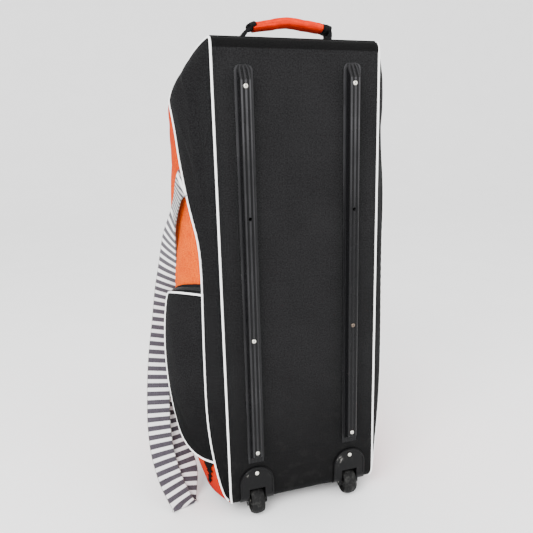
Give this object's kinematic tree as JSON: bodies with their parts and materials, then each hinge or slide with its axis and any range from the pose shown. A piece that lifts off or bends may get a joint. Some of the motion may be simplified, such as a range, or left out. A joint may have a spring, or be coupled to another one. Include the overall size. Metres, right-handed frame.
{
  "type": "wheeled kit bag",
  "caption": "Tall soft kit bag on wheels, with a stiff base panel, skid rails, piped gussets, a zipped side pocket, a padded grab handle and a striped shoulder strap.",
  "frame": {"origin": "centre of the bounding box, on the floor", "axes": "+Z from the wheel end to the handle end, -Y the way the base panel faces, +X to the right of someone who looks at the base panel"},
  "size_m": [0.5378, 0.3492, 0.9867],
  "materials": {
    "black_cloth": "woven polyester, coated",
    "orange_cloth": "woven polyester, coated",
    "white_piping": "satin cord piping",
    "black_plastic": "moulded, satin",
    "wheel_rubber": "moulded",
    "rivet_steel": "bright",
    "black_webbing": "woven webbing",
    "striped_webbing": "woven webbing with cross stripes"
  },
  "bodies": {
    "bag": {"base_panel": "black_cloth", "side_gusset_right": "black_cloth", "side_gusset_left": "black_cloth", "cover_right": "orange_cloth", "cover_left": "orange_cloth", "corner_cover_right": "orange_cloth", "corner_cover_left": "orange_cloth", "corner_cover_low_right": "orange_cloth", "corner_cover_low_left": "orange_cloth", "corner_cover_high_right": "orange_cloth", "corner_cover_high_left": "orange_cloth", "far_cover_right": "orange_cloth", "far_cover_left": "orange_cloth", "main_zip": "black_webbing", "rim_piping_right": "white_piping", "rim_piping_left": "white_piping", "swoosh_piping_right": "white_piping", "swoosh_piping_left": "white_piping", "handle_end_panel": "black_cloth", "wheel_end_panel": "black_cloth", "pocket_face": "black_cloth", "pocket_piping": "white_piping", "pocket_gusset": "black_cloth", "pocket_zip": "black_webbing", "skid_rail_right": "black_plastic", "skid_rail_left": "black_plastic", "rail_rivet_1_right": "rivet_steel", "rail_rivet_1_left": "rivet_steel", "rail_rivet_2_right": "rivet_steel", "rail_rivet_2_left": "rivet_steel", "rail_rivet_3_right": "rivet_steel", "rail_rivet_3_left": "rivet_steel", "wheel_housing_right": "black_plastic", "wheel_housing_left": "black_plastic", "housing_rivet_right": "rivet_steel", "housing_rivet_left": "rivet_steel", "axle_right": "rivet_steel", "axle_left": "rivet_steel", "handle_webbing": "black_webbing", "handle_grip": "orange_cloth", "handle_binding_right": "black_webbing", "handle_binding_left": "black_webbing", "shoulder_strap": "striped_webbing"},
    "left_wheel": {"wheel_left": "wheel_rubber"},
    "right_wheel": {"wheel_right": "wheel_rubber"}
  },
  "joints": [
    {"name": "left_wheel_spin", "type": "hinge", "parent": "bag", "child": "left_wheel", "pos_m": [-0.06397, -0.14577, 0.028], "axis": [1, 0, 0], "continuous": true},
    {"name": "right_wheel_spin", "type": "hinge", "parent": "bag", "child": "right_wheel", "pos_m": [0.14403, -0.14577, 0.028], "axis": [1, 0, 0], "continuous": true}
  ]
}
